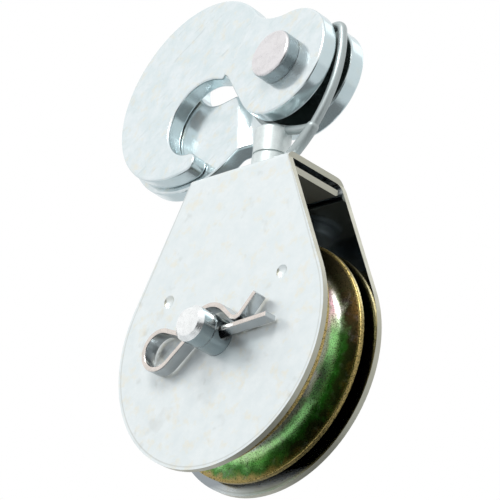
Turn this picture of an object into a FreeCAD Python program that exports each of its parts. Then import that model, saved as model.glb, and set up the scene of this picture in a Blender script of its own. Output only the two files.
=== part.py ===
import FreeCAD, Part
import math
import os

# A rope block for overhead line work. One grooved sheave turns in a case bent from
# sheet steel, a swivel eye stands through the top of the case, and two sister hooks
# are riveted to the eye so that they close on each other from both sides.
# Millimetres. The origin is the centre of the sheave, +Z runs up the case towards
# the hooks, and the axle lies along Y with its clip end pointing along -Y.

# Case: one strip of sheet bent over the top; the bends are inside radii
case_width = 21.5
sheet = 1.65
cheek_radius = 34.0
case_top = 47.3
top_half_width = 16.8
front_bend = 0.3
back_bend = 1.75
dent_spacing = 38.1
dent_height = 13.65
dent_diameter = 3.4
dent_depth = 0.8

# Doubler plate under the top of the case, with a spacer washer between the two
doubler_sheet = 1.75
doubler_back_gap = 0.9
doubler_nose = 0.8
spacer_thickness = 1.75
spacer_diameter = 12.5

# Sheave and the bush pressed into it
sheave_diameter = 63.5
sheave_width = 14.3
rim_land = 1.3
groove_radius = 4.9
groove_flank = 15.0
rim_round = 0.35
web_width = 9.0
hub_diameter = 22.0
rim_depth = 10.5
bush_diameter = 14.0
bush_end_gap = 0.12

# Axle pin with a flat head at the back and a cross hole for the clip
pin_diameter = 9.5
pin_projection = 11.0
pin_chamfer = 1.1
pin_head_diameter = 14.5
pin_head_height = 3.0
pin_head_round = 0.75
pin_head_gap = 0.1
pin_fit = 0.05
cross_hole = 4.8
cross_hole_offset = 2.5
ring_groove_offset = 5.7
ring_groove_width = 0.5
ring_groove_depth = 0.35

# Spring clip: flat strip, a straight leg through the pin and a wavy leg over it
clip_thickness = 1.3
clip_width = 3.8
clip_edge = 0.3
clip_leg_end = (19.5, 0.7)
clip_leg_bend = (-7.2, -0.85)
clip_leg_radius = 1.9
clip_loop_centre = (-16.1, -1.6)
clip_loop_radius = 5.1
clip_turn = (-8.0, 0.75)
clip_turn_radius = 1.2
clip_saddle_radius = 7.0
clip_dip = (9.2, 0.85)
clip_dip_radius = 2.5
clip_tip = (15.0, 7.4)

# Plane of the hooks, turned and leaning a little as the swivel stands at rest
rivet_centre = (4.3, 2.9, 78.1)
hook_turn = -4.15
hook_lean = -6.0

# Swivel eye: a three-sided eye of round wire on a stem, a barrel and a headed shank
eye_gap = 5.3
eye_wire = 2.4
eye_side_gap = 0.5
eye_seat_gap = 0.3
eye_bow = 33.0
eye_bow_centre = (-17.3, -1.5)
eye_join_angle = -33.6
eye_corner_angle = 17.0
eye_corner_radius = 2.8
eye_left_corner = (-12.3, -4.8)
stem_wire = 3.2
stem_bend_angle = -46.0
stem_foot = (4.2, -1.3)
stem_foot_height = 1.6
barrel_diameter = 9.6
barrel_height = 14.2
barrel_round = 1.2
barrel_ring_height = 6.1
barrel_ring_width = 0.5
barrel_ring_depth = 0.5
swivel_gap = 0.1
shank_diameter = 7.0
shank_fit = 0.05
washer_thickness = 1.2
washer_diameter = 14.0
shank_head_diameter = 11.0
shank_head_height = 3.0
shank_head_round = 1.3

# Hook plates: round eye at the rivet, joggled to the middle, round body with a bowl.
# The throat is placed from the eye, the bowl from the throat and the body from the bowl.
hook_thickness = 4.75
hook_eye_radius = 15.5
hook_face_gap = 0.1
throat_radius = 6.8
throat_gap = 3.5
throat_angle = 186.7
bowl_radius = 11.2
bowl_step = 3.11
bowl_angle = 197.8
body_radius = 27.2
body_wall = 4.50
body_angle = 118.8
hook_tip_radius = 2.7
neck_hollow_radius = 18.0
joggle_start = 21.0
joggle_length = 4.0
joggle_angle = 153.0
joggle_bend = 3.0
hook_edge = 0.7
rear_hook_mirror = 173.95

# Rivet through both hooks and the eye
rivet_diameter = 9.5
rivet_fit = 0.05
rivet_head_diameter = 13.5
rivet_head_height = 4.0
rivet_head_gap = 0.1
rivet_head_round = 0.9

# Worked out from the sizes above
half_width = case_width / 2
cheek_inner = half_width - sheet
strap_underside = case_top - sheet
doubler_top = strap_underside - spacer_thickness
doubler_underside = doubler_top - doubler_sheet
shank_hole = shank_diameter + 2 * shank_fit
pin_hole = pin_diameter + 2 * pin_fit
sheave_radius = sheave_diameter / 2
barrel_bottom = case_top + swivel_gap
eye_inner = eye_gap / 2
eye_outer = eye_inner + hook_thickness
body_outer = hook_face_gap + hook_thickness
hook_span = 2 * (hook_eye_radius + body_radius)

# Cutting shapes run this far past the piece, and edges are found within this distance
cut_margin = 1.0
near = 0.01

X = FreeCAD.Vector(1, 0, 0)
Y = FreeCAD.Vector(0, 1, 0)
Z = FreeCAD.Vector(0, 0, 1)


def at(x, z, y=0.0):
    """A point of a side view, x to the right and z up, at depth y."""
    return FreeCAD.Vector(x, y, z)


def polar(reach, angle, y=0.0):
    """A side-view point at a distance and an angle from +X towards +Z."""
    turn = math.radians(angle)
    return at(reach * math.cos(turn), reach * math.sin(turn), y)


def heading(start, end):
    """The angle from +X towards +Z at which end lies from start."""
    return math.degrees(math.atan2(end.z - start.z, end.x - start.x))


def line(start, end):
    return Part.LineSegment(start, end).toShape()


def arc(centre, radius, first, last):
    """A side-view arc about centre from angle first to angle last, either way round."""
    middle = (first + last) / 2
    points = [centre + polar(radius, angle) for angle in (first, middle, last)]
    return Part.Arc(*points).toShape()


def prism(edges, start, depth):
    """A side-view outline, closed, extruded along +Y from start."""
    face = Part.Face(Part.Wire(edges))
    face.translate(Y * start)
    return face.extrude(Y * depth)


def cylinder_y(radius, start, end, centre=FreeCAD.Vector(0, 0, 0)):
    return Part.makeCylinder(radius, end - start, centre + Y * start, Y)


def cylinder_z(radius, bottom, top):
    return Part.makeCylinder(radius, top - bottom, Z * bottom, Z)


def washer_z(diameter, hole, bottom, top):
    return cylinder_z(diameter / 2, bottom, top).cut(cylinder_z(hole / 2, bottom, top))


def in_hook_plane(shape):
    """Moves a shape made about the rivet, in the side view, to where the hooks hang."""
    turn = FreeCAD.Rotation(Z, hook_turn)
    lean = FreeCAD.Rotation(X, hook_lean)
    placed = shape.copy()
    hanging = FreeCAD.Placement(FreeCAD.Vector(*rivet_centre), turn * lean)
    placed.Placement = hanging * placed.Placement
    return placed


def case_outline():
    """The cheek's outline: a round foot, straight sides tangent to it, and an upright top."""
    shoulder = at(top_half_width, strap_underside)
    reach = math.hypot(shoulder.x, shoulder.z)
    tangent = heading(at(0, 0), shoulder) - math.degrees(math.acos(cheek_radius / reach))
    right = [polar(cheek_radius, tangent), shoulder, at(top_half_width, case_top)]
    left = [at(-point.x, point.z) for point in reversed(right)]
    points = right + left
    sides = [line(start, end) for start, end in zip(points, points[1:])]
    return sides + [arc(at(0, 0), cheek_radius, tangent, -180 - tangent)]


def strap_section(width, top, front, back):
    """The section of the bent strip across the case, with its front and back bends."""
    low = -cheek_radius - cut_margin
    slant = 1 - math.sqrt(0.5)
    points = [
        FreeCAD.Vector(0, width, low),
        FreeCAD.Vector(0, width, top - back),
        FreeCAD.Vector(0, width - slant * back, top - slant * back),
        FreeCAD.Vector(0, width - back, top),
        FreeCAD.Vector(0, front - width, top),
        FreeCAD.Vector(0, slant * front - width, top - slant * front),
        FreeCAD.Vector(0, -width, top - front),
        FreeCAD.Vector(0, -width, low),
    ]
    edges = [
        line(points[0], points[1]),
        Part.Arc(points[1], points[2], points[3]).toShape(),
        line(points[3], points[4]),
        Part.Arc(points[4], points[5], points[6]).toShape(),
        line(points[6], points[7]),
        line(points[7], points[0]),
    ]
    face = Part.Face(Part.Wire(edges))
    span = cheek_radius + cut_margin
    face.translate(X * -span)
    return face.extrude(X * 2 * span)


def dent(shape, x, side):
    """Presses a small dent into a cheek, which stands out as a bump on its inner face."""
    cap = dent_diameter / 2
    ball = (cap * cap + dent_depth * dent_depth) / (2 * dent_depth)
    away = Y * side
    place = at(x, dent_height) + away * half_width
    bump = Part.makeSphere(ball, place - away * (sheet + dent_depth - ball))
    keep = Part.makeCylinder(2 * ball, ball, place - away * (sheet / 2), away * -1)
    hollow = Part.makeSphere(ball, place + away * (ball - dent_depth))
    return shape.fuse(bump.common(keep)).cut(hollow)


def make_case():
    block = prism(case_outline(), -half_width, case_width)
    outside = strap_section(half_width, case_top, front_bend + sheet, back_bend + sheet)
    inside = strap_section(cheek_inner, strap_underside, front_bend, back_bend)
    shell = block.common(outside).cut(inside)
    beyond = half_width + cut_margin
    shell = shell.cut(cylinder_y(pin_hole / 2, -beyond, beyond))
    shell = shell.cut(cylinder_z(shank_hole / 2, doubler_top, case_top + cut_margin))
    for side in (-1, 1):
        for x in (-dent_spacing / 2, dent_spacing / 2):
            shell = dent(shell, x, side)
    return shell.removeSplitter()


def make_doubler_plate():
    """A flat plate that butts against the front cheek, its back end rounded below."""
    depth = 2 * cheek_inner - doubler_back_gap
    corner = FreeCAD.Vector(-top_half_width, -cheek_inner, doubler_underside)
    plate = Part.makeBox(2 * top_half_width, depth, doubler_sheet, corner)
    nose = [edge for edge in plate.Edges if is_nose(edge)]
    plate = plate.makeFillet(doubler_nose, nose)
    hole = cylinder_z(shank_hole / 2, doubler_underside - cut_margin, doubler_top + cut_margin)
    return plate.cut(hole)


def is_nose(edge):
    """True for the doubler's lower edge at the back."""
    middle = edge.CenterOfMass
    back = cheek_inner - doubler_back_gap
    return abs(middle.z - doubler_underside) < near and middle.y > back - near


def make_spacer_washer():
    return washer_z(spacer_diameter, shank_hole, doubler_top, strap_underside)


def make_sheave():
    """A turned sheave: deep groove between two rims, thinner web and a full-width hub."""
    rim = sheave_width / 2
    web = web_width / 2
    flank = math.radians(groove_flank)
    mouth = rim - rim_land
    touch = groove_radius * math.cos(flank)
    touch_radius = sheave_radius - (mouth - touch) / math.tan(flank)
    centre_radius = touch_radius + groove_radius * math.sin(flank)
    bottom = centre_radius - groove_radius
    bore = bush_diameter / 2
    hub = hub_diameter / 2
    web_top = sheave_radius - rim_depth

    def point(y, radius):
        return FreeCAD.Vector(0, y, radius)

    profile = [
        point(-rim, sheave_radius),
        point(-rim, web_top),
        point(-web, web_top - (rim - web)),
        point(-web, hub),
        point(-rim, hub),
        point(-rim, bore),
        point(rim, bore),
        point(rim, hub),
        point(web, hub),
        point(web, web_top - (rim - web)),
        point(rim, web_top),
        point(rim, sheave_radius),
        point(mouth, sheave_radius),
        point(touch, touch_radius),
    ]
    edges = [line(start, end) for start, end in zip(profile, profile[1:])]
    last = point(-touch, touch_radius)
    edges.append(Part.Arc(profile[-1], point(0, bottom), last).toShape())
    edges.append(line(last, point(-mouth, sheave_radius)))
    edges.append(line(point(-mouth, sheave_radius), profile[0]))
    solid = Part.Face(Part.Wire(edges)).revolve(at(0, 0), Y, 360)
    rims = [edge for edge in solid.Edges if on_radius(edge, sheave_radius)]
    return solid.makeFillet(rim_round, rims)


def on_radius(edge, radius):
    """True for a round edge of this radius about the axle."""
    return isinstance(edge.Curve, Part.Circle) and abs(edge.Curve.Radius - radius) < near


def make_sheave_bush():
    end = cheek_inner - bush_end_gap
    bush = cylinder_y(bush_diameter / 2, -end, end)
    return bush.cut(cylinder_y(pin_hole / 2, -end, end))


def make_axle_pin():
    tip = -half_width - pin_projection
    seat = half_width + pin_head_gap
    radius = pin_diameter / 2
    shank = cylinder_y(radius, tip, seat)
    rim = [edge for edge in shank.Edges if edge.CenterOfMass.y < tip + near]
    shank = shank.makeChamfer(pin_chamfer, rim)
    head = cylinder_y(pin_head_diameter / 2, seat, seat + pin_head_height)
    rim = [edge for edge in head.Edges if edge.CenterOfMass.y > seat + pin_head_height - near]
    head = head.makeFillet(pin_head_round, rim)
    ring = -half_width - ring_groove_offset
    start, end = ring - ring_groove_width / 2, ring + ring_groove_width / 2
    groove = cylinder_y(radius + cut_margin, start, end)
    groove = groove.cut(cylinder_y(radius - ring_groove_depth, start, end))
    hole_place = FreeCAD.Vector(-radius - cut_margin, -half_width - cross_hole_offset, 0)
    hole = Part.makeCylinder(cross_hole / 2, pin_diameter + 2 * cut_margin, hole_place, X)
    return shank.fuse(head).cut(groove).cut(hole).removeSplitter()


def tangent_point(outside, centre, radius, side):
    """Where the line from a point outside touches a circle, on one side of it."""
    reach = outside.distanceToPoint(centre)
    spread = math.degrees(math.acos(radius / reach))
    return centre + polar(radius, heading(centre, outside) + side * spread)


def rounded(before, corner, after, radius):
    """The start, middle and end of the arc that rounds a corner of a path."""
    back = (before - corner).normalize()
    on = (after - corner).normalize()
    half = back.getAngle(on) / 2
    inward = (back + on).normalize()
    centre = corner + inward * (radius / math.sin(half))
    run = radius / math.tan(half)
    return corner + back * run, centre - inward * radius, corner + on * run


def make_spring_clip():
    """One strip: straight leg, loop at the left, then the wavy leg over the pin."""
    leg_end = at(*clip_leg_end)
    leg_bend = at(*clip_leg_bend)
    loop = at(*clip_loop_centre)
    turn = at(*clip_turn)
    dip = at(*clip_dip)
    tip = at(*clip_tip)
    axis = at(0, 0)
    loop_in = tangent_point(leg_bend, loop, clip_loop_radius, -1)
    loop_out = tangent_point(turn, loop, clip_loop_radius, 1)
    saddle_in = tangent_point(turn, axis, clip_saddle_radius, -1)
    saddle_out = tangent_point(dip, axis, clip_saddle_radius, 1)
    loop_first = heading(loop, loop_in) % 360
    loop_last = heading(loop, loop_out)
    first = rounded(leg_end, leg_bend, loop_in, clip_leg_radius)
    second = rounded(loop_out, turn, saddle_in, clip_turn_radius)
    third = rounded(saddle_out, dip, tip, clip_dip_radius)
    path = Part.Wire([
        line(leg_end, first[0]),
        Part.Arc(*first).toShape(),
        line(first[2], loop_in),
        arc(loop, clip_loop_radius, loop_first, loop_last),
        line(loop_out, second[0]),
        Part.Arc(*second).toShape(),
        line(second[2], saddle_in),
        arc(axis, clip_saddle_radius, heading(axis, saddle_in), heading(axis, saddle_out)),
        line(saddle_out, third[0]),
        Part.Arc(*third).toShape(),
        line(third[2], tip),
    ])
    across = at(leg_end.z - leg_bend.z, leg_bend.x - leg_end.x).normalize() * (clip_thickness / 2)
    beside = Y * (clip_width / 2)
    corners = [across + beside, across - beside, beside * -1 - across, beside - across]
    profile = Part.makePolygon([leg_end + corner for corner in corners + corners[:1]])
    strip = path.makePipeShell([profile], True, False)
    rims = [edge for edge in strip.Edges if abs(edge.CenterOfMass.y) > clip_width / 2 - near]
    strip = strip.makeFillet(clip_edge, rims)
    strip.translate(Y * (-half_width - cross_hole_offset))
    return strip


def hook_centres():
    """The centres of the hook plate's round stretches about the rivet."""
    eye = at(0, 0)
    throat = polar(hook_eye_radius + throat_gap + throat_radius, throat_angle)
    bowl = throat + polar(bowl_radius - throat_radius + bowl_step, bowl_angle)
    body = bowl + polar(body_radius - bowl_radius - body_wall, body_angle)
    tip = meeting(body, body_radius - hook_tip_radius, bowl, bowl_radius + hook_tip_radius, -1)
    hollow = meeting(eye, hook_eye_radius + neck_hollow_radius,
                     body, body_radius + neck_hollow_radius, -1)
    return eye, body, bowl, throat, tip, hollow


def hook_outline():
    """The hook plate's outline, in which each round stretch is tangent to the next."""
    eye, body, bowl, throat, tip, hollow = hook_centres()
    both = throat_radius + hook_eye_radius
    down = heading(throat, eye) - math.degrees(math.asin(both / (both + throat_gap)))
    spread = bowl.distanceToPoint(throat)
    along = heading(bowl, throat) - math.degrees(math.asin((bowl_radius - throat_radius) / spread))
    eye_low = polar(hook_eye_radius, down - 90)
    throat_low = throat + polar(throat_radius, down + 90)
    throat_top = throat + polar(throat_radius, along + 90)
    bowl_top = bowl + polar(bowl_radius, along + 90)
    return [
        arc(eye, hook_eye_radius, heading(eye, hollow), down - 90),
        line(eye_low, throat_low),
        arc(throat, throat_radius, down + 90, along + 90),
        line(throat_top, bowl_top),
        arc(bowl, bowl_radius, along + 90, heading(bowl, tip) + 360),
        arc(tip, hook_tip_radius, heading(tip, bowl), heading(body, tip)),
        arc(body, body_radius, heading(body, tip), heading(body, hollow) - 360),
        arc(hollow, neck_hollow_radius, heading(hollow, body) + 360, heading(hollow, eye) + 360),
    ]


def meeting(first, first_radius, second, second_radius, side):
    """Where two circles cross, on one side of the line between their centres."""
    between = first.distanceToPoint(second)
    square = first_radius ** 2 - second_radius ** 2 + between ** 2
    along = square / (2 * between)
    across = math.sqrt(first_radius ** 2 - along ** 2)
    angle = heading(first, second)
    return first + polar(along, angle) + polar(across, angle + 90 * side)


def joggled_strip():
    """A strip wider than the hook, stepped from the eye's side to the middle plane."""
    ramp = math.atan2(eye_inner - hook_face_gap, joggle_length)
    shift = hook_thickness * math.tan(ramp / 2)
    end = joggle_start + joggle_length
    section = [
        FreeCAD.Vector(-hook_span, -eye_outer, 0),
        FreeCAD.Vector(joggle_start, -eye_outer, 0),
        FreeCAD.Vector(end, -body_outer, 0),
        FreeCAD.Vector(hook_span, -body_outer, 0),
        FreeCAD.Vector(hook_span, -hook_face_gap, 0),
        FreeCAD.Vector(end - shift, -hook_face_gap, 0),
        FreeCAD.Vector(joggle_start - shift, -eye_inner, 0),
        FreeCAD.Vector(-hook_span, -eye_inner, 0),
    ]
    face = Part.Face(Part.makePolygon(section + section[:1]))
    strip = face.extrude(Z * 2 * hook_span)
    strip.translate(Z * -hook_span)
    creases = [edge for edge in strip.Edges if is_crease(edge)]
    strip = strip.makeFillet(joggle_bend, creases)
    strip.rotate(at(0, 0), Y, -joggle_angle)
    return strip


def make_hook_plate():
    """One sister hook about the rivet, its eye towards -Y of the middle plane."""
    bowl, throat, tip = hook_centres()[2:5]
    corner = at(tip.x + hook_tip_radius + cut_margin, bowl.z - bowl_radius / 2)
    corner = corner - at(hook_span, hook_span, hook_span / 2)
    tip_side = Part.makeBox(hook_span, hook_span, hook_span, corner)
    low = -eye_outer - cut_margin
    bent = prism(hook_outline(), low, -low).common(joggled_strip())
    flat = prism(hook_outline(), -body_outer, hook_thickness)
    plate = bent.cut(tip_side).fuse(flat.common(tip_side)).removeSplitter()
    rims = [edge for edge in plate.Edges if not is_upright(edge) and not is_fold(edge)]
    plate = plate.makeFillet(hook_edge, rims)
    hole = rivet_diameter / 2 + rivet_fit
    return plate.cut(cylinder_y(hole, low, 0))


def is_upright(edge):
    """True for an edge that runs straight through the plate's thickness."""
    start, end = edge.Vertexes[0].Point, edge.Vertexes[-1].Point
    return math.hypot(end.x - start.x, end.z - start.z) < near and edge.Length < hook_thickness * 2


def is_fold(edge):
    """True for a line across the plate where the joggle begins or ends."""
    way = polar(1, joggle_angle)
    start, end = edge.Vertexes[0].Point, edge.Vertexes[-1].Point
    level = abs((end - start).dot(way)) < near and abs(end.y - start.y) < near
    return edge.Length > hook_eye_radius / 2 and level


def is_crease(edge):
    """True for the four long edges of the strip where the joggle bends."""
    middle = edge.CenterOfMass
    return abs(middle.z) < near and edge.Length > hook_span and 0 < middle.x < hook_span - near


def make_front_hook():
    return in_hook_plane(make_hook_plate())


def make_rear_hook():
    """The same plate turned over about a line through the rivet."""
    plate = make_hook_plate()
    plate.rotate(at(0, 0), polar(1, rear_hook_mirror), 180)
    return in_hook_plane(plate)


def make_hook_rivet():
    seat = eye_outer + rivet_head_gap
    outer = seat + rivet_head_height
    rivet = cylinder_y(rivet_diameter / 2, -seat, seat)
    for side in (-1, 1):
        base = Y * (side * seat)
        head = Part.makeCylinder(rivet_head_diameter / 2, rivet_head_height, base, Y * side)
        rim = [edge for edge in head.Edges if abs(edge.CenterOfMass.y) > outer - near]
        rivet = rivet.fuse(head.makeFillet(rivet_head_round, rim))
    return in_hook_plane(rivet.removeSplitter())


def eye_paths():
    """The eye's centre line up one side and over the rivet, and back along the bottom."""
    bow = at(*eye_bow_centre)
    left = at(*eye_left_corner)
    join = bow + polar(eye_bow, eye_join_angle)
    right = bow + polar(eye_bow - eye_corner_radius, eye_corner_angle)
    seat = rivet_diameter / 2 + eye_seat_gap + eye_wire / 2 - eye_corner_radius
    top = Part.Arc(right, polar(seat, heading(right, left) - 90), left).toShape().Curve
    low = meeting(left, eye_bow - eye_corner_radius, join, eye_bow, 1)
    first = heading(top.Center, right)
    second = heading(top.Center, left)
    third = heading(low, left) + 360
    fourth = heading(low, join) + 360
    over = Part.Wire([
        arc(bow, eye_bow, eye_join_angle, eye_corner_angle),
        arc(right, eye_corner_radius, eye_corner_angle, first),
        arc(top.Center, top.Radius + eye_corner_radius, first, second),
        arc(left, eye_corner_radius, second, third),
    ])
    back = Part.Wire(arc(low, eye_bow, third, fourth))
    return over, back, low + polar(eye_bow, third), polar(1, third + 90)


def round_wire(path, diameter, start, way):
    """A round wire of this diameter swept along a path that starts off one way."""
    circle = Part.makeCircle(diameter / 2, start, way)
    return path.makePipeShell([Part.Wire(circle)], True, False)


def make_swivel_eye():
    bow = at(*eye_bow_centre)
    join = bow + polar(eye_bow, eye_join_angle)
    bend = bow + polar(eye_bow, stem_bend_angle)
    over, back, corner, way = eye_paths()
    eye = round_wire(over, eye_wire, join, polar(1, eye_join_angle + 90))
    eye = eye.fuse(round_wire(back, eye_wire, corner, way))
    stem_path = Part.Wire(arc(bow, eye_bow, stem_bend_angle, eye_join_angle))
    stem = round_wire(stem_path, stem_wire, bend, polar(1, stem_bend_angle + 90))
    eye = eye.fuse(stem)
    for end in (join, bend):
        eye = eye.fuse(Part.makeSphere(stem_wire / 2, end))
    depth = Y * (eye_side_gap + eye_wire / 2 - eye_inner)
    eye.translate(depth)
    eye = in_hook_plane(eye)
    bend = in_hook_plane(Part.Vertex(bend + depth)).Point
    foot = FreeCAD.Vector(*stem_foot, barrel_bottom + stem_foot_height)
    leg = Part.makeCylinder(stem_wire / 2, bend.distanceToPoint(foot), foot, bend - foot)
    barrel_top = barrel_bottom + barrel_height
    barrel = cylinder_z(barrel_diameter / 2, barrel_bottom, barrel_top)
    barrel = barrel.makeFillet(barrel_round, level_edges(barrel, barrel_top))
    ring = barrel_bottom + barrel_ring_height
    inside = barrel_diameter - 2 * barrel_ring_depth
    barrel = barrel.cut(washer_z(barrel_diameter + cut_margin, inside, ring, ring + barrel_ring_width))
    head_top = doubler_underside - swivel_gap - washer_thickness
    head_bottom = head_top - shank_head_height
    shank = cylinder_z(shank_diameter / 2, head_top, barrel_bottom)
    head = cylinder_z(shank_head_diameter / 2, head_bottom, head_top)
    head = head.makeFillet(shank_head_round, level_edges(head, head_bottom))
    return eye.fuse([leg, barrel, shank, head]).removeSplitter()


def level_edges(shape, height):
    """The edges of a shape that lie level at this height."""
    return [edge for edge in shape.Edges if abs(edge.CenterOfMass.z - height) < near]


def make_swivel_washer():
    top = doubler_underside - swivel_gap
    return washer_z(washer_diameter, shank_hole, top - washer_thickness, top)


makers = {
    "case": make_case,
    "doubler_plate": make_doubler_plate,
    "spacer_washer": make_spacer_washer,
    "sheave": make_sheave,
    "sheave_bush": make_sheave_bush,
    "axle_pin": make_axle_pin,
    "spring_clip": make_spring_clip,
    "swivel_eye": make_swivel_eye,
    "swivel_washer": make_swivel_washer,
    "hook_rivet": make_hook_rivet,
    "front_hook": make_front_hook,
    "rear_hook": make_rear_hook,
}

os.makedirs("parts", exist_ok=True)
for name, make in makers.items():
    shape = make()
    shape.exportStep("parts/" + name + ".step")
    print(name, shape.isValid(), len(shape.Solids), round(shape.Volume, 1))
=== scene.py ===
import math

import bmesh
import bpy
from mathutils import Matrix, Vector


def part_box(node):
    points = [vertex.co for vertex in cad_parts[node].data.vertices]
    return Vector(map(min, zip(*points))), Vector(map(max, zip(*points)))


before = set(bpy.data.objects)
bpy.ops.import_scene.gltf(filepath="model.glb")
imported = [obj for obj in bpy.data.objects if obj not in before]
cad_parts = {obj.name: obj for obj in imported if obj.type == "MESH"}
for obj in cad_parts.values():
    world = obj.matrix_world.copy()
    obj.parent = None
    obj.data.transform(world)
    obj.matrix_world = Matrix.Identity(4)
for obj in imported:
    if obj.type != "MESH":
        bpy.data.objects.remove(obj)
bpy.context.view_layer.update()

bl_info = {
    "name": "Double Hook Rope Pulley",
    "version": (1, 0, 0),
    "blender": (4, 5, 0),
    "location": "View3D > Sidebar > Rope Pulley",
    "description": "Finishes a rope block with a bent case, a chromated sheave and two sister hooks",
    "category": "Object",
}

MM = 0.001

# The swivel's barrel, which stands on the case.
BARREL_HEIGHT = 14.2 * MM
BARREL_RADIUS = 4.85 * MM

# The hooks' rivet lies along Y, leans about X and is then turned about Z.
RIVET_LEAN = math.radians(-6.0)
RIVET_TURN = math.radians(-4.15)
RIVET_AXIS = Matrix.Rotation(RIVET_TURN, 3, "Z") @ Matrix.Rotation(RIVET_LEAN, 3, "X") @ Vector((0, 1, 0))

# Each pair says where a finish starts to change and where the change is complete.
STRAP_DEPTH = (4.2 * MM, 3.8 * MM)  # below the top of the case
# From here on the case's inside is drawn darker, as painted shade, and glossier.
INSIDE_DEPTH = (0.5 * MM, 0.3 * MM)  # outwards from the cheeks' inner faces
INSIDE_HEIGHT = (-32 * MM, -29 * MM)  # counted up from the axle, by the cheeks' lower rim
# Where a thin line of painted shade lies just inside the cheeks' outline:
ROLLED_OUTSIDE = (0.5 * MM, 0.7 * MM)  # inwards from the cheeks' outline
ROLLED_INSIDE = (1.05 * MM, 0.85 * MM)  # inwards from the cheeks' outline
SIDE_START = (0.0, 0.1 * MM)  # up from where the outline's straight side leaves its circle
# Where the hooks get painted shade in the gap between their eyes:
GAP_SHADE_DEPTH = (3.3 * MM, 2.9 * MM)  # along the rivet from its middle
GAP_SHADE_REACH = (16.2 * MM, 15.2 * MM)  # from the rivet's middle
LEFT_TO_RIGHT = (3 * MM, 13 * MM)  # right of the axle
LOWER_TO_UPPER = (1 * MM, 8 * MM)  # over the axle
UPPER_TO_SHADED = (9 * MM, 14 * MM)  # over the axle
RIM_DEPTH = (0.9 * MM, 0.5 * MM)  # inwards from the sheave's rim
# Past these, the wire is drawn darker than the barrel, as painted shade:
WIRE_BESIDE = (0.0, 0.3 * MM)  # outwards from the barrel's side
WIRE_ABOVE = (0.0, 1 * MM)  # up from the barrel's top

# Direction, width, run and seed of each set of scratches.
SCRATCH_SETS = (
    ((0.3, 0.5, 0.2), 0.10 * MM, 8 * MM, 0.1),
    ((1.1, -0.7, 0.9), 0.08 * MM, 5 * MM, 0.7),
)

# Places on the stage, in metres from the axle's centre.
KEY_PLACE = (0.20, -1.12, 1.06)
FILL_PLACE = (0.2, 0.9, 1.0)
LAMP_AIM = Vector((0, 0, 0.04))
CARD_AIM = Vector((0, 0, 0.03))

# Name, width, place and tone of each card that the metal reflects.
CARDS = (
    ("front_card", 0.8, (0.74, -0.50, -0.25), 0.03),
    ("low_card", 1.8, (0.1, 0.15, -0.95), 0.22),
)


def colour(name, description, value):
    """A property that holds a colour."""
    return bpy.props.FloatVectorProperty(
        name=name, description=description, default=value, subtype="COLOR", min=0, max=1, size=3
    )


def amount(name, description, value):
    """A property that holds a share between 0 and 1."""
    return bpy.props.FloatProperty(
        name=name, description=description, default=value, subtype="FACTOR", min=0, max=1
    )


def length(name, description, value):
    """A property that holds a length in metres."""
    return bpy.props.FloatProperty(
        name=name, description=description, default=value, subtype="DISTANCE", unit="LENGTH"
    )


def angle(name, description, degrees):
    """A property that holds an angle."""
    return bpy.props.FloatProperty(
        name=name, description=description, default=math.radians(degrees), subtype="ANGLE"
    )


def power(name, description, watts):
    """A property that holds a lamp's power."""
    return bpy.props.FloatProperty(
        name=name, description=description, default=watts, subtype="POWER", min=0
    )


class PlateFinish(bpy.types.PropertyGroup):
    """Zinc plating on the bent case and the hooks."""

    case_colour: colour("Case", "Bright zinc on the case", (0.83, 0.88, 0.885))
    case_patch: colour("Case patches", "Duller patches in the case's plating", (0.755, 0.815, 0.825))
    # Painted shade: the darker colour of the case's inside.
    case_inside_shade: colour("Case inside", "Dull zinc on the inside of the case", (0.30, 0.33, 0.35))
    cut_edge: colour("Cut edges", "Sheared edges of the sheet", (0.38, 0.37, 0.28))
    hook_colour: colour("Hooks", "Bluish zinc on the hook plates", (0.81, 0.87, 0.89))
    hook_patch: colour("Hook patches", "Duller patches on the hook plates", (0.70, 0.79, 0.81))
    hook_edge: colour("Hook edges", "Cut edges of the hook plates", (0.53, 0.65, 0.68))
    # Painted shade: the dark colour on the hook faces in the gap between the eyes.
    hook_gap_shade: colour("Hook oil", "Oiled faces beside the swivel eye", (0.11, 0.145, 0.14))
    warm_stain: colour("Stain", "Faint warm stain in the plating", (0.82, 0.79, 0.67))
    speck: colour("Specks", "Dark specks and pits", (0.34, 0.33, 0.27))
    scratch: amount("Scratches", "How strongly the scratches show", 0.18)
    plate_roughness: amount("Roughness", "Roughness of the zinc", 0.34)
    cloud_size: length("Patch size", "Size of the patches in the plating", 4 * MM)
    grain_size: length("Grain size", "Size of the fine grain in the plating", 0.8 * MM)
    speck_spacing: length("Speck spacing", "Distance between specks", 0.8 * MM)
    case_relief: length("Case relief", "Depth of the grain on the case", 0.05 * MM)
    hook_relief: length("Hook relief", "Depth of the grain on the hooks", 0.06 * MM)


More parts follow.
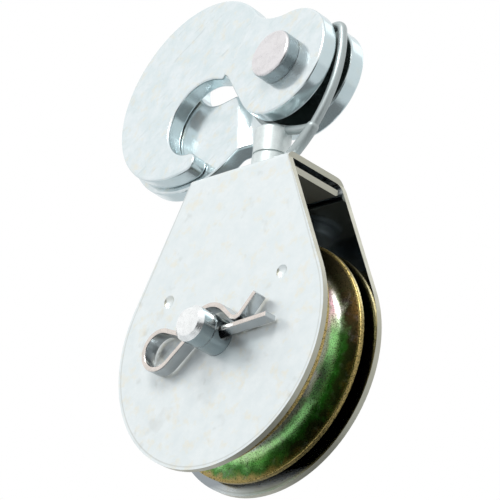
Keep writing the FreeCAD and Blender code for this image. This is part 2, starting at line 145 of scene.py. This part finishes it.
class ChromateFinish(bpy.types.PropertyGroup):
    """Yellow chromate on the sheave, which shows other colours across the groove."""

    gold: colour("Gold", "Colour of the rims", (0.46, 0.35, 0.13))
    pink: colour("Pink", "Colour of the groove's upper side", (0.95, 0.58, 0.64))
    silver: colour("Silver", "Lightest colour of the film", (0.88, 0.86, 0.84))
    mauve: colour("Mauve", "Colour of the patches in the film", (0.40, 0.34, 0.37))
    sage: colour("Sage", "Colour of the groove's bottom", (0.30, 0.36, 0.22))
    green: colour("Green", "Colour of the flank on the right", (0.35, 0.78, 0.28))
    forest: colour("Forest", "Deeper green of the flanks", (0.07, 0.24, 0.05))
    lime: colour("Lime", "Palest green, at the bottom of the sheave", (0.58, 0.92, 0.42))
    # Painted shade: the dark olive of the flank's band and of the sheave's top.
    olive_shade: colour("Olive", "Colour of the flank's dark band", (0.06, 0.05, 0.025))
    amber: colour("Amber", "Colour of the flank by the rim", (0.22, 0.12, 0.035))
    dark_grain: colour("Grain", "Dark grain in the film", (0.05, 0.05, 0.02))
    sheave_roughness: amount("Roughness", "Roughness of the chromate", 0.24)
    wave_size: length("Wave size", "Size of the waves in the bands of colour", 5 * MM)
    patch_size: length("Patch size", "Size of the mauve patches", 3 * MM)
    streak_size: length("Streak size", "Size of the deep green streaks", 4 * MM)
    grain_size: length("Grain size", "Size of the dark grain", 0.30 * MM)
    relief: length("Relief", "Depth of the grain", 0.05 * MM)


class SteelFinish(bpy.types.PropertyGroup):
    """Plated wire, rivet, axle pin and clip, and the bush."""

    barrel_colour: colour("Barrel", "Zinc on the swivel's barrel", (0.72, 0.78, 0.77))
    # Painted shade: the wire drawn darker than the barrel of the same zinc.
    wire_shade_colour: colour("Wire", "Duller zinc on the wire of the swivel eye", (0.40, 0.45, 0.45))
    rivet_colour: colour("Rivet", "Bright end of the rivet", (0.80, 0.78, 0.79))
    pin_colour: colour("Axle pin", "Zinc on the axle pin", (0.96, 0.98, 0.98))
    # Painted shade: the pin's and rivet's sides drawn darker than their ends.
    turned_side_shade: colour("Turned sides", "Darker sides of the pin and rivet", (0.32, 0.38, 0.40))
    # Painted light and shade: one nickel, lighter on the strip's edges and darker on its broad faces.
    clip_colour: colour("Clip", "Rubbed edges of the clip's strip", (0.78, 0.72, 0.67))
    clip_side_shade: colour("Clip faces", "Darker nickel on the clip's broad faces", (0.46, 0.48, 0.49))
    bush_colour: colour("Bush", "Oiled bearing bush", (0.30, 0.24, 0.15))
    dulling: amount("Dulling", "Share of its colour that dull steel keeps", 0.62)
    cloud_size: length("Patch size", "Size of the dull patches", 2.5 * MM)
    grain_size: length("Grain size", "Size of the fine grain", 0.25 * MM)
    turning_pitch: length("Turning pitch", "Distance between turning marks", 0.35 * MM)
    relief: length("Relief", "Depth of the grain and the turning marks", 0.04 * MM)


class StageSettings(bpy.types.PropertyGroup):
    """Camera, floor, backdrop and lamps."""

    camera_azimuth: angle("Azimuth", "How far the camera is turned round the block", 45.43)
    camera_elevation: angle("Elevation", "The camera's angle above the axle", -24.31)
    camera_roll: angle("Roll", "How far the camera is rolled", 6.79)
    camera_distance: length("Distance", "From the camera to the axle's centre", 0.7477)
    camera_right: length("Axle right", "How far the axle lies right of the picture's middle", -0.00053)
    camera_up: length("Axle up", "How far the axle lies above the picture's middle", -0.02536)
    lens: bpy.props.FloatProperty(
        name="Lens", description="Focal length", default=218.79, subtype="DISTANCE_CAMERA"
    )
    floor_height: length("Floor height", "Height of the floor, counted from the axle", -1.3)
    floor_width: length("Floor width", "Width of the square floor", 40.0)
    floor_colour: colour("Floor", "Colour of the floor", (0.82, 0.83, 0.83))
    floor_glow: amount("Floor glow", "How much paler the floor looks than its own colour", 0.32)
    background: colour("Background", "Colour of the backdrop", (1.0, 1.0, 1.0))
    world_colour: colour("World", "Colour of the world's light", (0.96, 0.98, 1.0))
    surroundings: bpy.props.FloatProperty(
        name="Surroundings", description="Strength of the world's light", default=0.60
    )
    key_power: power("Key lamp", "Power of the key lamp", 15.0)
    fill_power: power("Fill lamp", "Power of the fill lamp", 0.8)
    lamp_size: length("Lamp size", "Width of each square lamp", 0.6)


def node(tree, kind, values=None, **settings):
    """A shader node whose inputs are values or other nodes' sockets."""
    made = tree.nodes.new("ShaderNode" + kind)
    for name, value in settings.items():
        setattr(made, name, value)
    for name, value in (values or {}).items():
        if isinstance(value, bpy.types.NodeSocket):
            tree.links.new(value, made.inputs[name])
        elif name in ("Color1", "Color2", "Color"):
            made.inputs[name].default_value = (*value, 1)
        else:
            made.inputs[name].default_value = value
    return made


def blend(tree, factor, first, second):
    """Mixes two colours, each a socket or three numbers."""
    return node(tree, "MixRGB", {"Fac": factor, "Color1": first, "Color2": second}).outputs["Color"]


def maths(tree, operation, first, second):
    """A Math node's value, clamped between 0 and 1."""
    made = node(tree, "Math", {0: first, 1: second}, operation=operation, use_clamp=True)
    return made.outputs["Value"]


def unsigned(tree, value):
    """A value without its sign."""
    return node(tree, "Math", {0: value}, operation="ABSOLUTE").outputs["Value"]


def between(tree, value, low, high, bottom=0.0, top=1.0):
    """Maps a value from low..high to bottom..top."""
    made = node(tree, "MapRange", {"Value": value, "From Min": low, "From Max": high,
                                   "To Min": bottom, "To Max": top})
    return made.outputs["Result"]


def parts(tree, vector):
    """A vector's X, Y and Z."""
    return node(tree, "SeparateXYZ", {"Vector": vector}).outputs


def how_long(tree, vector):
    """A vector's length."""
    return node(tree, "VectorMath", {0: vector}, operation="LENGTH").outputs["Value"]


def off_axis(tree, place, others):
    """Distance from an axis through the origin, where others is 1 on the other two axes."""
    flat = node(tree, "VectorMath", {0: place, 1: others}, operation="MULTIPLY").outputs["Vector"]
    return how_long(tree, flat)


def along_axis(tree, vector, axis):
    """A vector's reach along an axis, without its sign."""
    reach = node(tree, "VectorMath", {0: vector, 1: axis}, operation="DOT_PRODUCT")
    return unsigned(tree, reach.outputs["Value"])


def noise(tree, vector, size, detail=4.0, seed=0.0):
    """Noise whose features are about this size, in metres."""
    moved = node(tree, "Mapping", {"Vector": vector, "Location": (seed, 2 * seed, 3 * seed)})
    made = node(tree, "TexNoise", {"Vector": moved.outputs["Vector"], "Scale": 1 / size,
                                   "Detail": detail, "Roughness": 0.55})
    return made.outputs["Fac"]


def scratches(tree, vector, turn, width, run, seed):
    """Thin lines along one direction: 1 on a scratch, 0 elsewhere."""
    along = node(tree, "Mapping", {"Vector": vector, "Rotation": turn, "Location": (seed, seed, 0),
                                   "Scale": (1 / run, 1 / width, 1 / run)})
    grain = node(tree, "TexNoise", {"Vector": along.outputs["Vector"], "Scale": 1.0, "Detail": 2.0})
    return between(tree, grain.outputs["Fac"], 0.66, 0.74)


def specks(tree, vector, spacing, share):
    """Small spots: 1 on a spot, 0 elsewhere."""
    cells = node(tree, "TexVoronoi", {"Vector": vector, "Scale": 1 / spacing, "Randomness": 1.0})
    return between(tree, cells.outputs["Distance"], share, share * 0.5)


def ramp(tree, value, bands):
    """A colour ramp through (position, colour) pairs."""
    made = node(tree, "ValToRGB", {"Fac": value})
    stops = made.color_ramp.elements
    while len(stops) < len(bands):
        stops.new(0.5)
    for stop, (position, tint) in zip(stops, bands):
        stop.position = position
        stop.color = (*tint, 1)
    return made.outputs["Color"]


def start_material(name):
    """A material, its node tree, its Principled shader and the piece's coordinates."""
    material = bpy.data.materials.new(name)
    material.use_nodes = True
    tree = material.node_tree
    return material, tree, tree.nodes["Principled BSDF"], node(tree, "TexCoord").outputs


def connect(tree, shader, **sockets):
    """Links sockets to the shader's inputs of the same names."""
    for name, socket in sockets.items():
        tree.links.new(socket, shader.inputs[name.replace("_", " ")])


def bump(tree, shader, height, strength, distance):
    """Gives the shader's surface a relief."""
    made = node(tree, "Bump", {"Height": height, "Strength": strength, "Distance": distance})
    connect(tree, shader, Normal=made.outputs["Normal"])


def zinc_surface(tree, place, finish, bright, dull):
    """Colour, patches and height of bright zinc with a faint stain, scratches and specks."""
    cloud = between(tree, noise(tree, place, finish.cloud_size), 0.35, 0.68)
    grain = noise(tree, place, finish.grain_size, detail=6.0)
    stain = between(tree, noise(tree, place, finish.cloud_size * 0.7, seed=0.31), 0.54, 0.72, 0.0, 0.6)
    tone = blend(tree, cloud, bright, dull)
    tone = blend(tree, between(tree, grain, 0.30, 0.62, 0.40, 0.0), tone, dull)
    tone = blend(tree, stain, tone, finish.warm_stain)
    first, second = (scratches(tree, place, *each) for each in SCRATCH_SETS)
    lines = maths(tree, "MULTIPLY", maths(tree, "MAXIMUM", first, second), finish.scratch)
    tone = blend(tree, lines, tone, finish.speck)
    spots = specks(tree, place, finish.speck_spacing, 0.045)
    tone = blend(tree, maths(tree, "MULTIPLY", spots, 0.3), tone, finish.speck)
    height = maths(tree, "SUBTRACT", grain, lines)
    return tone, cloud, height


def rolled_edge_shade(tree, point, radius, half_top, top):
    """A thin line of painted shade just inside the cheeks' outline, where the sheet rolled over as it was
    cut.

    The outline is a circle about the axle with a straight line on each side that touches
    the circle and ends at the top corner.
    """
    turn = math.atan2(top, half_top) - math.acos(radius / math.hypot(top, half_top))
    aside = unsigned(tree, point["X"])
    up = point["Z"]
    flat = node(tree, "CombineXYZ", {"X": aside, "Z": up}).outputs["Vector"]
    round_reach = how_long(tree, flat)
    straight_reach = maths(tree, "ADD", maths(tree, "MULTIPLY", aside, math.cos(turn)),
                           maths(tree, "MULTIPLY", up, math.sin(turn)))
    past = maths(tree, "SUBTRACT", up, maths(tree, "MULTIPLY", aside, math.tan(turn)))
    straight = between(tree, past, *SIDE_START)
    reach = between(tree, straight, 0.0, 1.0, round_reach, straight_reach)
    inside = between(tree, reach, *(radius - inset for inset in ROLLED_INSIDE))
    outside = between(tree, reach, *(radius - inset for inset in ROLLED_OUTSIDE))
    return maths(tree, "MULTIPLY", inside, outside)


def make_case_zinc(finish, half_gap, top, radius, half_top):
    """Bright zinc outside, darker and glossier zinc inside where the darker colour is painted shade, and
    grey on the sheared edges.

    half_gap is half the room between the cheeks, top the case's height over the axle,
    radius that of the cheeks' round ends and half_top half the top's width.
    """
    material, tree, shader, coordinates = start_material("case_zinc")
    place = coordinates["Object"]
    tone, cloud, height = zinc_surface(tree, place, finish, finish.case_colour, finish.case_patch)
    facing = parts(tree, coordinates["Normal"])
    point = parts(tree, place)
    sideways = unsigned(tree, facing["X"])
    flatways = unsigned(tree, facing["Y"])
    strap = between(tree, point["Z"], *(top - depth for depth in STRAP_DEPTH))
    cheek_edge = maths(tree, "SUBTRACT", between(tree, flatways, 0.5, 0.4), strap)
    edge = maths(tree, "MAXIMUM", cheek_edge, between(tree, sideways, 0.5, 0.6))
    inner = between(tree, unsigned(tree, point["Y"]), *(half_gap + depth for depth in INSIDE_DEPTH))
    outer_strap = maths(tree, "SUBTRACT", strap, between(tree, facing["Z"], -0.3, -0.6))
    inner = maths(tree, "SUBTRACT", inner, maths(tree, "MAXIMUM", edge, outer_strap))
    inner = maths(tree, "MULTIPLY", inner, between(tree, point["Z"], *INSIDE_HEIGHT))
    # Painted shade: a thin darker line where the sheet rolled over at the cheeks' outline.
    rolled = maths(tree, "MULTIPLY", rolled_edge_shade(tree, point, radius, half_top, top), 0.3)
    tone = blend(tree, rolled, tone, finish.speck)
    # Painted shade: a darker colour on the case's inside, which is also glossier and more metallic.
    tone = blend(tree, inner, tone, finish.case_inside_shade)
    tone = blend(tree, maths(tree, "MULTIPLY", edge, 0.85), tone, finish.cut_edge)
    rough = between(tree, cloud, 0.0, 1.0, finish.plate_roughness - 0.06, finish.plate_roughness + 0.08)
    rough = between(tree, inner, 0.0, 1.0, rough, 0.11)
    metal = between(tree, inner, 0.0, 1.0, 0.62, 1.0)
    connect(tree, shader, Base_Color=tone, Roughness=rough, Metallic=metal)
    bump(tree, shader, height, 0.10, finish.case_relief)
    return material


def make_hook_zinc(finish, centre, axis):
    """Bluish zinc on thick plate, darker on the cut edges, with painted shade on the faces in the gap
    between the hook eyes beside the swivel eye.

    centre and axis give the rivet that both hooks turn on.
    """
    material, tree, shader, coordinates = start_material("hook_zinc")
    place = coordinates["Object"]
    tone, cloud, height = zinc_surface(tree, place, finish, finish.hook_colour, finish.hook_patch)
    facing = along_axis(tree, coordinates["Normal"], axis)
    tone = blend(tree, between(tree, facing, 0.60, 0.35, 0.0, 0.75), tone, finish.hook_edge)
    arm = node(tree, "VectorMath", {0: place, 1: centre}, operation="SUBTRACT").outputs["Vector"]
    # Painted shade on the faces that look along the rivet near its middle, in the gap between the hook
    # eyes.
    gap_shade = maths(tree, "MULTIPLY", between(tree, along_axis(tree, arm, axis), *GAP_SHADE_DEPTH),
                  between(tree, how_long(tree, arm), *GAP_SHADE_REACH))
    gap_shade = maths(tree, "MULTIPLY", gap_shade, between(tree, facing, 0.5, 0.8))
    tone = blend(tree, gap_shade, tone, finish.hook_gap_shade)
    rough = between(tree, cloud, 0.0, 1.0, finish.plate_roughness - 0.20, finish.plate_roughness - 0.08)
    connect(tree, shader, Base_Color=tone, Roughness=rough)
    shader.inputs["Metallic"].default_value = 0.80
    bump(tree, shader, height, 0.10, finish.hook_relief)
    return material


def make_chromate(finish, half_width, radius):
    """Colours that run across the groove and shift in streaks along it."""
    material, tree, shader, coordinates = start_material("sheave_chromate")
    place = coordinates["Object"]
    point = parts(tree, place)
    waves = noise(tree, place, finish.wave_size, detail=6.0, seed=0.2)
    across = between(tree, unsigned(tree, point["Y"]), 0.0, half_width, 0.5, 1.0)
    shifted = maths(tree, "ADD", across, between(tree, waves, 0.3, 0.7, -0.035, 0.035))
    # The olive stops are painted shade on the rear flank.
    upper = ramp(tree, shifted, (
        (0.0, finish.mauve), (0.50, finish.sage), (0.62, finish.pink), (0.74, finish.pink),
        (0.80, finish.silver), (0.825, finish.sage), (0.84, finish.olive_shade), (0.91, finish.amber)))
    right = ramp(tree, shifted, (
        (0.0, finish.mauve), (0.50, finish.mauve), (0.66, finish.sage), (0.70, finish.green),
        (0.78, finish.green), (0.81, finish.forest), (0.85, finish.olive_shade), (0.88, finish.olive_shade),
        (0.91, finish.amber)))
    left = ramp(tree, shifted, (
        (0.0, finish.mauve), (0.50, finish.sage), (0.68, finish.silver), (0.73, finish.lime),
        (0.79, finish.lime), (0.83, finish.green), (0.87, finish.forest), (0.90, finish.gold)))
    tone = blend(tree, between(tree, point["X"], *LEFT_TO_RIGHT), left, right)
    tone = blend(tree, between(tree, point["Z"], *LOWER_TO_UPPER), tone, upper)
    patches = noise(tree, place, finish.patch_size, detail=7.0, seed=0.5)
    tone = blend(tree, between(tree, patches, 0.54, 0.66, 0.0, 0.35), tone, finish.mauve)
    streaks = noise(tree, place, finish.streak_size, detail=7.0, seed=0.9)
    tone = blend(tree, between(tree, streaks, 0.53, 0.64, 0.0, 0.5), tone, finish.forest)
    # Painted shade: the sheave turns olive-dark towards its top.
    tone = blend(tree, between(tree, point["Z"], *UPPER_TO_SHADED, 0.0, 0.9), tone, finish.olive_shade)
    grain = noise(tree, place, finish.grain_size, detail=5.0)
    rim_tone = blend(tree, between(tree, grain, 0.42, 0.52, 0.85, 0.0), finish.gold, finish.dark_grain)
    tone = blend(tree, between(tree, grain, 0.36, 0.54, 0.72, 0.0), tone, finish.dark_grain)
    reach = off_axis(tree, place, (1, 0, 1))
    rim = between(tree, reach, *(radius - depth for depth in RIM_DEPTH))
    tone = blend(tree, rim, tone, rim_tone)
    rough = between(tree, grain, 0.3, 0.7, finish.sheave_roughness, finish.sheave_roughness + 0.14)
    connect(tree, shader, Base_Color=tone, Roughness=rough)
    shader.inputs["Metallic"].default_value = 1.0
    bump(tree, shader, grain, 0.20, finish.relief)
    return material


def make_steel(steel, name, tint, metallic, roughness, turned=False, side=None, beyond=None):
    """Plated steel with fine marks, which run in rings about the axle where it is turned.

    side gives the painted-shade colour of a piece's sides, where it differs from its ends, and
    beyond gives the radius and top of a barrel about the Z axis and the painted-shade colour outside it.
    """
    material, tree, shader, coordinates = start_material(name)
    place = coordinates["Object"]
    cloud = noise(tree, place, steel.cloud_size, detail=5.0, seed=0.4)
    grain = noise(tree, place, steel.grain_size)
    dark = tuple(steel.dulling * part for part in tint)
    tone = blend(tree, between(tree, cloud, 0.42, 0.72, 0.0, 0.4), tint, dark)
    tone = blend(tree, between(tree, grain, 0.30, 0.50, 0.4, 0.0), tone, dark)
    # Painted shade: a piece's sides drawn in a darker colour than its ends.
    if side:
        facing = unsigned(tree, parts(tree, coordinates["Normal"])["Y"])
        tone = blend(tree, between(tree, facing, 0.75, 0.35), tone, side)
    # Painted shade: the wire beyond the barrel takes the darker colour.
    if beyond:
        radius, top, outer = beyond
        reach = off_axis(tree, place, (1, 1, 0))
        beside = between(tree, reach, *(radius + step for step in WIRE_BESIDE))
        above = between(tree, parts(tree, place)["Z"], *(top + step for step in WIRE_ABOVE))
        tone = blend(tree, maths(tree, "MAXIMUM", beside, above), tone, outer)
    height = grain
    if turned:
        rings = node(tree, "TexWave", {"Vector": place, "Scale": 0.31 / steel.turning_pitch,
                                       "Distortion": 0.6, "Detail": 2.0},
                     wave_type="RINGS", rings_direction="Y")
        height = maths(tree, "ADD", maths(tree, "MULTIPLY", rings.outputs["Fac"], 0.5), grain)
    rough = between(tree, cloud, 0.3, 0.7, roughness, roughness + 0.12)
    connect(tree, shader, Base_Color=tone, Roughness=rough)
    shader.inputs["Metallic"].default_value = metallic
    bump(tree, shader, height, 0.12, steel.relief)
    return material


def finish_nodes(material, *names):
    """Gives CAD nodes one material."""
    for name in names:
        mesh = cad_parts[name].data
        mesh.materials.clear()
        mesh.materials.append(material)


class BLOCK_OT_finish_case(bpy.types.Operator):
    """Finish the case, the doubler plate and the spacer washer"""

    bl_idname = "block.finish_case"
    bl_label = "Finish Case"

    def execute(self, context):
        doubler_low, doubler_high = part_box("doubler_plate")
        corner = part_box("case")[1]
        half_gap, half_top = -doubler_low.y, doubler_high.x
        material = make_case_zinc(context.scene.block_plate, half_gap, corner.z, corner.x, half_top)
        finish_nodes(material, "case", "doubler_plate", "spacer_washer")
        return {"FINISHED"}


class BLOCK_OT_finish_hooks(bpy.types.Operator):
    """Finish both hook plates"""

    bl_idname = "block.finish_hooks"
    bl_label = "Finish Hooks"

    def execute(self, context):
        low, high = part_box("hook_rivet")
        material = make_hook_zinc(context.scene.block_plate, (low + high) / 2, RIVET_AXIS)
        finish_nodes(material, "front_hook", "rear_hook")
        return {"FINISHED"}


class BLOCK_OT_finish_swivel(bpy.types.Operator):
    """Finish the swivel eye, its washer and the rivet"""

    bl_idname = "block.finish_swivel"
    bl_label = "Finish Swivel"

    def execute(self, context):
        steel = context.scene.block_steel
        barrel_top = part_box("case")[1].z + BARREL_HEIGHT
        # The wire above and beside the barrel gets painted shade.
        wire = make_steel(steel, "eye_zinc", steel.barrel_colour, metallic=0.45, roughness=0.34,
                          beyond=(BARREL_RADIUS, barrel_top, steel.wire_shade_colour))
        # The rivet's sides get painted shade.
        rivet = make_steel(steel, "rivet_steel", steel.rivet_colour, metallic=0.80, roughness=0.20,
                           side=steel.turned_side_shade)
        finish_nodes(wire, "swivel_eye", "swivel_washer")
        finish_nodes(rivet, "hook_rivet")
        return {"FINISHED"}


class BLOCK_OT_finish_sheave(bpy.types.Operator):
    """Finish the sheave and its bush"""

    bl_idname = "block.finish_sheave"
    bl_label = "Finish Sheave"

    def execute(self, context):
        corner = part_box("sheave")[1]
        steel = context.scene.block_steel
        bush = make_steel(steel, "bush_steel", steel.bush_colour, metallic=0.9, roughness=0.35,
                          turned=True)
        finish_nodes(make_chromate(context.scene.block_chromate, corner.y, corner.z), "sheave")
        finish_nodes(bush, "sheave_bush")
        return {"FINISHED"}


class BLOCK_OT_finish_axle(bpy.types.Operator):
    """Finish the axle pin and the spring clip"""

    bl_idname = "block.finish_axle"
    bl_label = "Finish Axle"

    def execute(self, context):
        steel = context.scene.block_steel
        # The pin's sides get painted shade.
        pin = make_steel(steel, "pin_zinc", steel.pin_colour, metallic=0.9, roughness=0.16,
                         turned=True, side=steel.turned_side_shade)
        # Painted light and shade: the clip lighter on its edges and darker on its broad faces.
        clip = make_steel(steel, "clip_nickel", steel.clip_colour, metallic=1.0, roughness=0.09,
                          side=steel.clip_side_shade)
        finish_nodes(pin, "axle_pin")
        finish_nodes(clip, "spring_clip")
        return {"FINISHED"}


def stage_square(name, width, place, material):
    """A flat square of the stage."""
    mesh = bpy.data.meshes.new(name)
    shape = bmesh.new()
    bmesh.ops.create_grid(shape, x_segments=1, y_segments=1, size=width / 2, matrix=place)
    shape.to_mesh(mesh)
    shape.free()
    made = bpy.data.objects.new(name, mesh)
    bpy.context.scene.collection.objects.link(made)
    mesh.materials.append(material)
    return made


def seen_rays(tree):
    """1 for rays that the camera, a reflection or glass sends out, 0 for light on surfaces."""
    path = node(tree, "LightPath")
    seen = maths(tree, "MAXIMUM", path.outputs["Is Camera Ray"], path.outputs["Is Glossy Ray"])
    return maths(tree, "MAXIMUM", seen, path.outputs["Is Transmission Ray"])


def matt_material(name, tint, glow=0.0):
    """A plain matt surface for the stage, which may look paler than the light it gives."""
    material = bpy.data.materials.new(name)
    material.use_nodes = True
    tree = material.node_tree
    shader = tree.nodes["Principled BSDF"]
    shader.inputs["Base Color"].default_value = (*tint, 1)
    shader.inputs["Roughness"].default_value = 1.0
    shader.inputs["Specular IOR Level"].default_value = 0.0
    if glow:
        shader.inputs["Emission Color"].default_value = (1, 1, 1, 1)
        connect(tree, shader, Emission_Strength=maths(tree, "MULTIPLY", seen_rays(tree), glow))
    return material


def reflection_card(name, width, position, tone):
    """A dark card that only shows as a reflection in the metal."""
    turn = (CARD_AIM - Vector(position)).to_track_quat("Z", "Y").to_matrix().to_4x4()
    place = Matrix.Translation(position) @ turn
    card = stage_square(name, width, place, matt_material(name, (tone, tone, tone)))
    card.visible_camera = False
    card.visible_diffuse = False
    card.visible_shadow = False
    card.visible_transmission = False


def lamp(name, watts, size, position):
    """A square lamp that shines on the block."""
    data = bpy.data.lights.new(name, "AREA")
    data.energy = watts
    data.size = size
    made = bpy.data.objects.new(name, data)
    made.location = position
    made.rotation_euler = (LAMP_AIM - Vector(position)).to_track_quat("-Z", "Y").to_euler()
    bpy.context.scene.collection.objects.link(made)


def make_camera(settings):
    """The camera below the block, looking up at it as the photograph does."""
    turn = settings.camera_azimuth
    lift = settings.camera_elevation
    roll = settings.camera_roll
    ahead = Vector((-math.sin(turn) * math.cos(lift), math.cos(turn) * math.cos(lift), -math.sin(lift)))
    level = ahead.cross(Vector((0, 0, 1))).normalized()
    upright = level.cross(ahead)
    right = level * math.cos(roll) + upright * math.sin(roll)
    up = upright * math.cos(roll) - level * math.sin(roll)
    data = bpy.data.cameras.new("camera")
    data.lens = settings.lens
    data.sensor_width = 36
    data.clip_start = 0.01
    made = bpy.data.objects.new("camera", data)
    place = -ahead * settings.camera_distance - right * settings.camera_right - up * settings.camera_up
    axes = Matrix((right, up, -ahead)).transposed()
    made.matrix_world = Matrix.Translation(place) @ axes.to_4x4()
    bpy.context.scene.collection.objects.link(made)
    bpy.context.scene.camera = made


def make_world(settings):
    """The world's light, which the camera and the metal see as the plain backdrop."""
    world = bpy.data.worlds.new("surroundings")
    world.use_nodes = True
    tree = world.node_tree
    tree.nodes.clear()
    light = node(tree, "Background", {"Color": settings.world_colour, "Strength": settings.surroundings})
    seen = node(tree, "Background", {"Color": settings.background, "Strength": 1.0})
    mix = node(tree, "MixShader", {0: seen_rays(tree), 1: light.outputs[0], 2: seen.outputs[0]})
    node(tree, "OutputWorld", {"Surface": mix.outputs[0]})
    bpy.context.scene.world = world


class BLOCK_OT_make_stage(bpy.types.Operator):
    """Make the camera, the floor, the backdrop, the cards, the lamps and the world"""

    bl_idname = "block.make_stage"
    bl_label = "Make Stage"

    def execute(self, context):
        settings = context.scene.block_stage
        make_camera(settings)
        pale = matt_material("floor_pale", settings.floor_colour, settings.floor_glow)
        level = Matrix.Translation((0, 0, settings.floor_height))
        stage_square("floor", settings.floor_width, level, pale)
        for card in CARDS:
            reflection_card(*card)
        lamp("key_lamp", settings.key_power, settings.lamp_size, KEY_PLACE)
        lamp("fill_lamp", settings.fill_power, settings.lamp_size, FILL_PLACE)
        make_world(settings)
        context.scene.view_settings.view_transform = "Standard"
        return {"FINISHED"}


class BLOCK_PT_sidebar(bpy.types.Panel):
    """Lists the steps that finish the block"""

    bl_label = "Rope Pulley"
    bl_idname = "BLOCK_PT_sidebar"
    bl_space_type = "VIEW_3D"
    bl_region_type = "UI"
    bl_category = "Rope Pulley"

    def draw(self, context):
        for step in STEPS:
            self.layout.operator(step.bl_idname)


GROUPS = {
    "block_plate": PlateFinish,
    "block_chromate": ChromateFinish,
    "block_steel": SteelFinish,
    "block_stage": StageSettings,
}
STEPS = (
    BLOCK_OT_finish_case,
    BLOCK_OT_finish_hooks,
    BLOCK_OT_finish_swivel,
    BLOCK_OT_finish_sheave,
    BLOCK_OT_finish_axle,
    BLOCK_OT_make_stage,
)


def register():
    """Adds the settings, the steps and the sidebar."""
    for group in GROUPS.values():
        bpy.utils.register_class(group)
    for step in STEPS:
        bpy.utils.register_class(step)
    bpy.utils.register_class(BLOCK_PT_sidebar)
    for name, group in GROUPS.items():
        setattr(bpy.types.Scene, name, bpy.props.PointerProperty(type=group))


def unregister():
    """Takes away what register added."""
    for name in GROUPS:
        delattr(bpy.types.Scene, name)
    bpy.utils.unregister_class(BLOCK_PT_sidebar)
    for step in reversed(STEPS):
        bpy.utils.unregister_class(step)
    for group in reversed(GROUPS.values()):
        bpy.utils.unregister_class(group)


def main():
    """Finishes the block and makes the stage."""
    register()
    bpy.ops.block.finish_case()
    bpy.ops.block.finish_hooks()
    bpy.ops.block.finish_swivel()
    bpy.ops.block.finish_sheave()
    bpy.ops.block.finish_axle()
    bpy.ops.block.make_stage()


if __name__ == "__main__":
    main()
